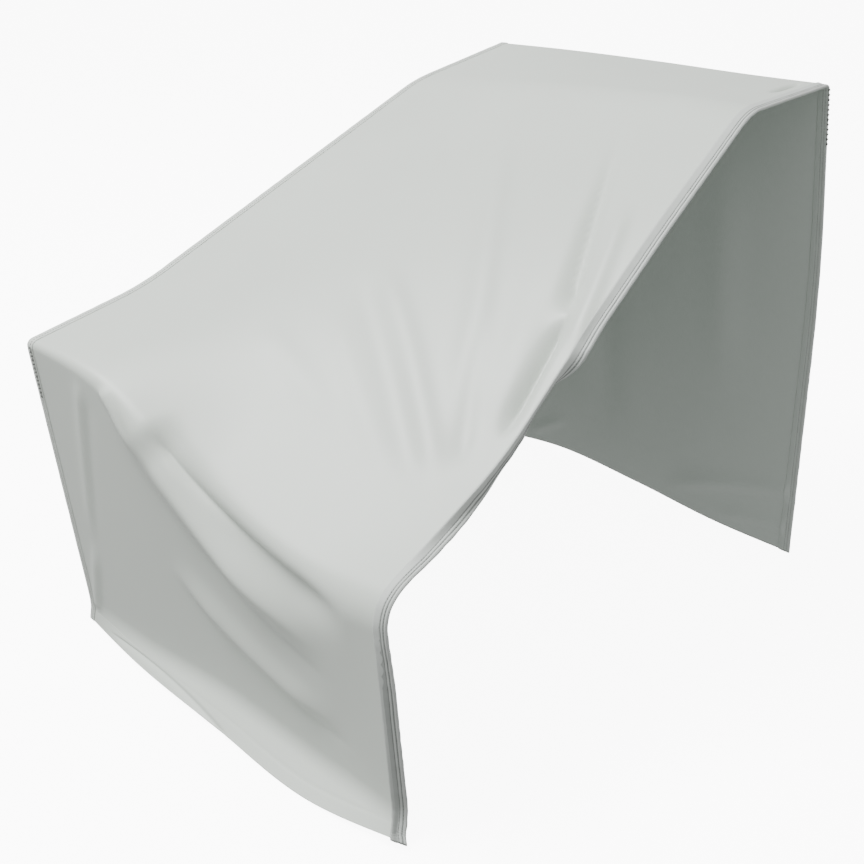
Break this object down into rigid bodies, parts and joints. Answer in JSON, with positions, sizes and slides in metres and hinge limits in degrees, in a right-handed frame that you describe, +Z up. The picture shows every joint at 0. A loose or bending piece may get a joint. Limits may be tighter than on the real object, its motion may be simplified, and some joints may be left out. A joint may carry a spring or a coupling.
{
  "type": "sectional sofa cover",
  "caption": "Fitted cloth cover draped over a sectional sofa's arm end: sloping top from back to seat, raised arm corner, bound open side and soft folds.",
  "frame": {"origin": "on the floor under the middle of the cover's bounding box", "axes": "+X across the cover towards its open right side, +Y from the front hem to the back hem, +Z up"},
  "size_m": [0.8293, 1.1682, 0.9108],
  "materials": {
    "cover_cloth": "light grey coated woven polyester with a satin sheen",
    "binding_tape": "light grey woven tape with stitching"
  },
  "bodies": {
    "root": {"main_panel": "cover_cloth", "left_side_panel": "cover_cloth", "right_edge_binding": "binding_tape", "left_seam_binding": "binding_tape"}
  },
  "joints": []
}
